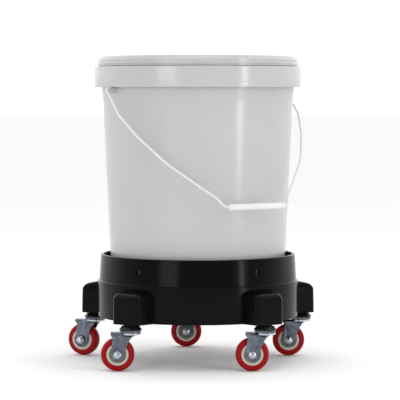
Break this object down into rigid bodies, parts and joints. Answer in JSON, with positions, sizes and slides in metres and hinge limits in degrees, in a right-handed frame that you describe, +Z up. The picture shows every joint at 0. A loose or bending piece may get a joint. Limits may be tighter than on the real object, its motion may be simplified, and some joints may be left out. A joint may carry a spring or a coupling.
{
  "type": "wash bucket",
  "caption": "Round lidded wash pail with a wire bail and plastic grip, standing in a ring dolly on small swivel casters.",
  "frame": {"origin": "on the floor, under the pail's axis", "axes": "+Z up along the pail's axis, -Y to the front, +X to the right seen from the front"},
  "size_m": [0.383, 0.3582, 0.4649],
  "materials": {
    "pail_plastic": "glossy moulded polyethylene, light grey",
    "lid_plastic": "glossy moulded polyethylene, light grey",
    "seal_rubber": "soft black gasket",
    "bail_wire": "white coated steel wire",
    "grip_plastic": "white moulded plastic",
    "ring_plastic": "glossy black moulded plastic",
    "cap_plastic": "black moulded plastic",
    "zinc_steel": "bright zinc plate",
    "ball_steel": "polished steel",
    "bush_steel": "turned steel",
    "hub_plastic": "cream moulded plastic",
    "tyre_red": "glossy red polyurethane"
  },
  "bodies": {
    "dolly": {"dolly_ring": "ring_plastic", "back_kingpin": "zinc_steel", "back_dust_cap": "cap_plastic", "back_upper_race": "zinc_steel", "left_side_kingpin": "zinc_steel", "left_side_dust_cap": "cap_plastic", "left_side_upper_race": "zinc_steel", "front_left_kingpin": "zinc_steel", "front_left_dust_cap": "cap_plastic", "front_left_upper_race": "zinc_steel", "front_right_kingpin": "zinc_steel", "front_right_dust_cap": "cap_plastic", "front_right_upper_race": "zinc_steel", "right_side_kingpin": "zinc_steel", "right_side_dust_cap": "cap_plastic", "right_side_upper_race": "zinc_steel"},
    "pail": {"pail": "pail_plastic"},
    "lid": {"lid": "lid_plastic", "lid_seal": "seal_rubber"},
    "bail": {"bail_wire": "bail_wire"},
    "grip": {"bail_grip": "grip_plastic"},
    "back_swivel": {"back_fork": "zinc_steel", "back_swivel_balls": "ball_steel", "back_axle": "zinc_steel", "back_axle_nut": "zinc_steel"},
    "back_wheel": {"back_wheel_bush": "bush_steel", "back_wheel_hub": "hub_plastic", "back_tyre": "tyre_red"},
    "left_side_swivel": {"left_side_fork": "zinc_steel", "left_side_swivel_balls": "ball_steel", "left_side_axle": "zinc_steel", "left_side_axle_nut": "zinc_steel"},
    "left_side_wheel": {"left_side_wheel_bush": "bush_steel", "left_side_wheel_hub": "hub_plastic", "left_side_tyre": "tyre_red"},
    "front_left_swivel": {"front_left_fork": "zinc_steel", "front_left_swivel_balls": "ball_steel", "front_left_axle": "zinc_steel", "front_left_axle_nut": "zinc_steel"},
    "front_left_wheel": {"front_left_wheel_bush": "bush_steel", "front_left_wheel_hub": "hub_plastic", "front_left_tyre": "tyre_red"},
    "front_right_swivel": {"front_right_fork": "zinc_steel", "front_right_swivel_balls": "ball_steel", "front_right_axle": "zinc_steel", "front_right_axle_nut": "zinc_steel"},
    "front_right_wheel": {"front_right_wheel_bush": "bush_steel", "front_right_wheel_hub": "hub_plastic", "front_right_tyre": "tyre_red"},
    "right_side_swivel": {"right_side_fork": "zinc_steel", "right_side_swivel_balls": "ball_steel", "right_side_axle": "zinc_steel", "right_side_axle_nut": "zinc_steel"},
    "right_side_wheel": {"right_side_wheel_bush": "bush_steel", "right_side_wheel_hub": "hub_plastic", "right_side_tyre": "tyre_red"}
  },
  "joints": [
    {"name": "pail_lift", "type": "slide", "parent": "dolly", "child": "pail", "axis": [0, 0, 1], "range_m": [0, 0.12]},
    {"name": "lid_lift", "type": "slide", "parent": "pail", "child": "lid", "axis": [0, 0, 1], "range_m": [0, 0.03]},
    {"name": "bail_swing", "type": "hinge", "parent": "pail", "child": "bail", "pos_m": [0, 0, 0.4155], "axis": [-0.848, -0.5299, 0], "range_deg": [0, 273]},
    {"name": "grip_turn", "type": "hinge", "parent": "bail", "child": "grip", "pos_m": [0.08682, -0.13893, 0.24286], "axis": [0.848, 0.5299, 0], "continuous": true},
    {"name": "back_swivel_turn", "type": "hinge", "parent": "dolly", "child": "back_swivel", "pos_m": [0, 0.1685, 0.0555], "axis": [0, 0, 1], "continuous": true},
    {"name": "back_wheel_roll", "type": "hinge", "parent": "back_swivel", "child": "back_wheel", "pos_m": [-0.019, 0.1685, 0.025], "axis": [0, -1, 0], "continuous": true},
    {"name": "left_side_swivel_turn", "type": "hinge", "parent": "dolly", "child": "left_side_swivel", "pos_m": [-0.16025, 0.05207, 0.0555], "axis": [0, 0, 1], "continuous": true},
    {"name": "left_side_wheel_roll", "type": "hinge", "parent": "left_side_swivel", "child": "left_side_wheel", "pos_m": [-0.17811, 0.05857, 0.025], "axis": [-0.342, -0.9397, 0], "continuous": true},
    {"name": "front_left_swivel_turn", "type": "hinge", "parent": "dolly", "child": "front_left_swivel", "pos_m": [-0.09904, -0.13632, 0.0555], "axis": [0, 0, 1], "continuous": true},
    {"name": "front_left_wheel_roll", "type": "hinge", "parent": "front_left_swivel", "child": "front_left_wheel", "pos_m": [-0.11804, -0.13632, 0.025], "axis": [0, -1, 0], "continuous": true},
    {"name": "front_right_swivel_turn", "type": "hinge", "parent": "dolly", "child": "front_right_swivel", "pos_m": [0.09904, -0.13632, 0.0555], "axis": [0, 0, 1], "continuous": true},
    {"name": "front_right_wheel_roll", "type": "hinge", "parent": "front_right_swivel", "child": "front_right_wheel", "pos_m": [0.08004, -0.13632, 0.025], "axis": [0, -1, 0], "continuous": true},
    {"name": "right_side_swivel_turn", "type": "hinge", "parent": "dolly", "child": "right_side_swivel", "pos_m": [0.16025, 0.05207, 0.0555], "axis": [0, 0, 1], "continuous": true},
    {"name": "right_side_wheel_roll", "type": "hinge", "parent": "right_side_swivel", "child": "right_side_wheel", "pos_m": [0.14125, 0.05207, 0.025], "axis": [0, -1, 0], "continuous": true}
  ]
}
